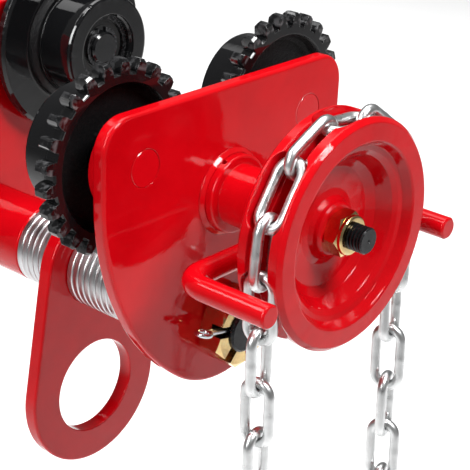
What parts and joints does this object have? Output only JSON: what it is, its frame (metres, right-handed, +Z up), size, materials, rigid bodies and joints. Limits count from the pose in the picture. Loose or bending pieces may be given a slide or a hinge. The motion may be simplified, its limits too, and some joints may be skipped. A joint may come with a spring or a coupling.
{
  "type": "beam trolley",
  "caption": "Geared travelling trolley that hangs from the lower flange of a steel beam on four flanged wheels, driven by a hand-chain wheel, with a load plate slung below.",
  "frame": {"origin": "on the rolling surface of the beam's lower flange, on the beam's centre plane, midway between the front and rear wheels", "axes": "+X along the beam (direction of travel), -Y towards the geared side with the hand chain, +Z up"},
  "size_m": [0.2072, 0.2793, 0.4585],
  "materials": {
    "red_paint": "gloss",
    "red_cast": "satin, cast",
    "black_cast": "gloss black over casting",
    "black_bar": "black oxide",
    "axle_steel": "painted over at the riveted end",
    "bearing_steel": "ground",
    "spring_steel": "phosphated",
    "zinc": "bright zinc plate",
    "yellow_zinc": "yellow passivated zinc",
    "chain_zinc": "bright zinc plate",
    "bronze": "sintered",
    "nylon": "moulded",
    "seal_rubber": "moulded"
  },
  "bodies": {
    "frame": {"side_plate_geared": "red_paint", "side_plate_plain": "red_paint", "axle_bosses_geared_side": "red_paint", "axle_bosses_plain_side": "red_paint", "axles_geared_side": "axle_steel", "axles_plain_side": "axle_steel", "bearing_inner_rings": "bearing_steel", "axle_clips": "spring_steel", "crossbar": "black_bar", "spacer_tube_geared_side": "red_paint", "spacer_tube_plain_side": "red_paint", "washers_geared_side": "zinc", "washers_plain_side": "zinc", "castle_nuts": "yellow_zinc", "cotter_pins": "zinc", "support_tube": "red_paint", "ring_weld": "red_paint", "bushes": "bronze", "chain_guide": "red_paint", "chain_on_wheel": "chain_zinc"},
    "drive": {"drive_shaft": "black_bar", "shaft_keys": "bearing_steel", "pinion": "black_cast", "pinion_clip": "spring_steel", "hand_chain_wheel": "red_cast", "lock_nut": "yellow_zinc", "lock_nut_insert": "nylon"},
    "wheel_geared_left": {"geared_wheel_left": "black_cast", "bearing_outer_geared_left": "bearing_steel", "bearing_balls_geared_left": "bearing_steel", "bearing_seals_geared_left": "seal_rubber", "bore_clip_geared_left": "spring_steel"},
    "wheel_geared_right": {"geared_wheel_right": "black_cast", "bearing_outer_geared_right": "bearing_steel", "bearing_balls_geared_right": "bearing_steel", "bearing_seals_geared_right": "seal_rubber", "bore_clip_geared_right": "spring_steel"},
    "wheel_plain_left": {"plain_wheel_left": "black_cast", "bearing_outer_plain_left": "bearing_steel", "bearing_balls_plain_left": "bearing_steel", "bearing_seals_plain_left": "seal_rubber", "bore_clip_plain_left": "spring_steel"},
    "wheel_plain_right": {"plain_wheel_right": "black_cast", "bearing_outer_plain_right": "bearing_steel", "bearing_balls_plain_right": "bearing_steel", "bearing_seals_plain_right": "seal_rubber", "bore_clip_plain_right": "spring_steel"},
    "load_hanger": {"load_plate": "red_paint"},
    "chain_loop": {"chain_right_strand": "chain_zinc", "chain_bottom_loop": "chain_zinc", "chain_left_strand": "chain_zinc"}
  },
  "joints": [
    {"name": "drive_spin", "type": "hinge", "parent": "frame", "child": "drive", "pos_m": [0, -0.1, 0.00283], "axis": [0, 1, 0], "continuous": true, "deforming": ["chain_on_wheel"]},
    {"name": "wheel_geared_left_spin", "type": "hinge", "parent": "frame", "child": "wheel_geared_left", "pos_m": [-0.0546, -0.055, 0.028], "axis": [0, 1, 0], "continuous": true},
    {"name": "wheel_geared_right_spin", "type": "hinge", "parent": "frame", "child": "wheel_geared_right", "pos_m": [0.0546, -0.055, 0.028], "axis": [0, 1, 0], "continuous": true},
    {"name": "wheel_plain_left_spin", "type": "hinge", "parent": "frame", "child": "wheel_plain_left", "pos_m": [-0.0546, 0.055, 0.028], "axis": [0, 1, 0], "continuous": true},
    {"name": "wheel_plain_right_spin", "type": "hinge", "parent": "frame", "child": "wheel_plain_right", "pos_m": [0.0546, 0.055, 0.028], "axis": [0, 1, 0], "continuous": true},
    {"name": "load_plate_swing", "type": "hinge", "parent": "frame", "child": "load_hanger", "pos_m": [0, 0.002, -0.0628], "axis": [0, 1, 0], "range_deg": [-45, 45]},
    {"name": "chain_sway", "type": "hinge", "parent": "frame", "child": "chain_loop", "pos_m": [0, -0.148, -0.03467], "axis": [1, 0, 0], "range_deg": [-10, 10]}
  ],
  "couplings": [
    {"joint": "wheel_geared_left_spin", "follows": "drive_spin", "ratio": -0.48},
    {"joint": "wheel_geared_right_spin", "follows": "drive_spin", "ratio": -0.48}
  ]
}
